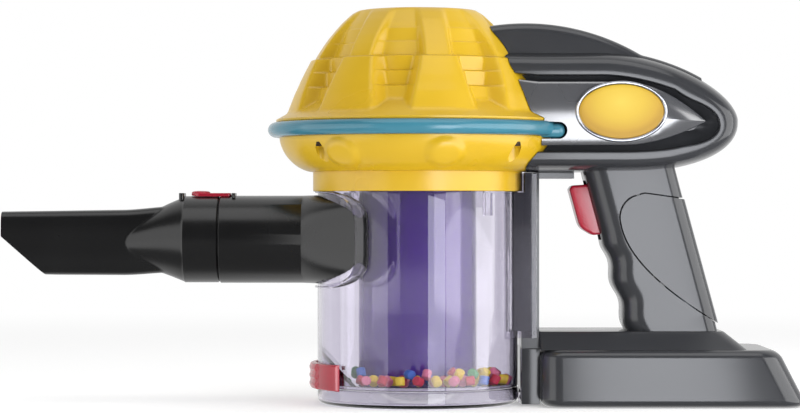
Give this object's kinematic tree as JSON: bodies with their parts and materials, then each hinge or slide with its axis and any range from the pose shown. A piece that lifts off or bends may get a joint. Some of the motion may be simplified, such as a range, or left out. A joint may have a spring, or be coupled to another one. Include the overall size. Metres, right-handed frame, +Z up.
{
  "type": "toy vacuum cleaner",
  "caption": "Toy hand-held vacuum cleaner: crevice tool, clear bead bin with hinged base, lobed yellow cyclone head, leaning trigger grip and a flat pack to stand on.",
  "frame": {"origin": "on the floor under the axis of the bin", "axes": "+X towards the grip, +Y to the far side in the picture, +Z up"},
  "size_m": [0.3394, 0.127, 0.166],
  "materials": {
    "black_plastic": "semi-gloss black moulding",
    "red_plastic": "glossy red moulding",
    "clear_plastic": "clear plastic with a faint cool tint",
    "purple_plastic": "glossy purple moulding",
    "bead_yellow": "yellow bead",
    "bead_red": "red bead",
    "bead_blue": "blue bead",
    "bead_green": "green bead",
    "bead_pink": "pink bead",
    "steel": "plated steel",
    "yellow_plastic": "golden yellow moulding",
    "teal_plastic": "pearly teal moulding",
    "motor_can": "zinc plated can",
    "grey_plastic": "gun-metal grey moulding",
    "panel_plastic": "silvery grey moulding",
    "silver_trim": "silver plated trim",
    "badge_yellow": "gold yellow plain badge",
    "cell_jacket": "printed cell jacket, left plain"
  },
  "bodies": {
    "body": {"inlet_duct": "black_plastic", "bead_guard": "black_plastic", "clear_bin": "clear_plastic", "bin_floor": "clear_plastic", "catch_ramp": "clear_plastic", "cyclone_core": "purple_plastic", "bead_screen": "black_plastic", "beads_yellow": "bead_yellow", "beads_red": "bead_red", "beads_blue": "bead_blue", "beads_green": "bead_green", "beads_pink": "bead_pink", "flap_pin": "steel", "catch_pin": "steel", "catch_spring": "steel", "cyclone_bowl": "yellow_plastic", "trim_ring": "teal_plastic", "cyclone_cover": "yellow_plastic", "bowl_screws": "steel", "motor_mount": "black_plastic", "motor": "motor_can", "housing_left": "grey_plastic", "housing_right": "grey_plastic", "spine_cap": "grey_plastic", "trim_panel_left": "panel_plastic", "trim_panel_right": "panel_plastic", "badge_bezel_left": "silver_trim", "badge_bezel_right": "silver_trim", "badge_left": "badge_yellow", "badge_right": "badge_yellow", "rear_column": "grey_plastic", "hinge_block": "grey_plastic", "plinth": "grey_plastic", "pack_case": "grey_plastic", "pack_base": "grey_plastic", "base_screws": "steel", "grip_left": "grey_plastic", "grip_right": "grey_plastic", "shell_screws": "steel", "trigger_spring": "steel", "switch": "black_plastic", "battery_tray": "black_plastic", "battery_cells": "cell_jacket", "contact_springs": "steel", "contact_plate": "steel"},
    "crevice_tool": {"crevice_tool": "black_plastic"},
    "tool_latch": {"tool_latch": "red_plastic"},
    "bin_flap": {"bin_flap": "clear_plastic"},
    "bin_catch": {"bin_catch": "red_plastic"},
    "impeller": {"impeller": "black_plastic", "motor_shaft": "steel"},
    "trigger": {"trigger": "red_plastic"},
    "battery_cover": {"battery_cover": "grey_plastic"}
  },
  "joints": [
    {"name": "trigger_pull", "type": "slide", "parent": "body", "child": "trigger", "axis": [0.965, 0, 0.2622], "range_m": [0, 0.0045], "stiffness_N_per_m": 300, "deforming": ["trigger_spring"]},
    {"name": "tool_slide", "type": "slide", "parent": "body", "child": "crevice_tool", "axis": [-1, 0, 0], "range_m": [0, 0.034]},
    {"name": "latch_slide", "type": "slide", "parent": "crevice_tool", "child": "tool_latch", "axis": [-1, 0, 0], "range_m": [0, 0.0025], "stiffness_N_per_m": 200},
    {"name": "flap_hinge", "type": "hinge", "parent": "body", "child": "bin_flap", "pos_m": [0.0454, 0, 0.0026], "axis": [0, -1, 0], "range_deg": [0, 80]},
    {"name": "catch_rock", "type": "hinge", "parent": "body", "child": "bin_catch", "pos_m": [-0.0378, 0, 0.012], "axis": [0, 1, 0], "range_deg": [0, 4], "stiffness_Nm_per_rad": 0.2, "deforming": ["catch_spring"]},
    {"name": "impeller_spin", "type": "hinge", "parent": "body", "child": "impeller", "pos_m": [0, 0, 0.105], "axis": [0, 0, 1], "continuous": true},
    {"name": "cover_slide", "type": "slide", "parent": "body", "child": "battery_cover", "axis": [0.9848, 0, -0.1736], "range_m": [0, 0.045]}
  ]
}
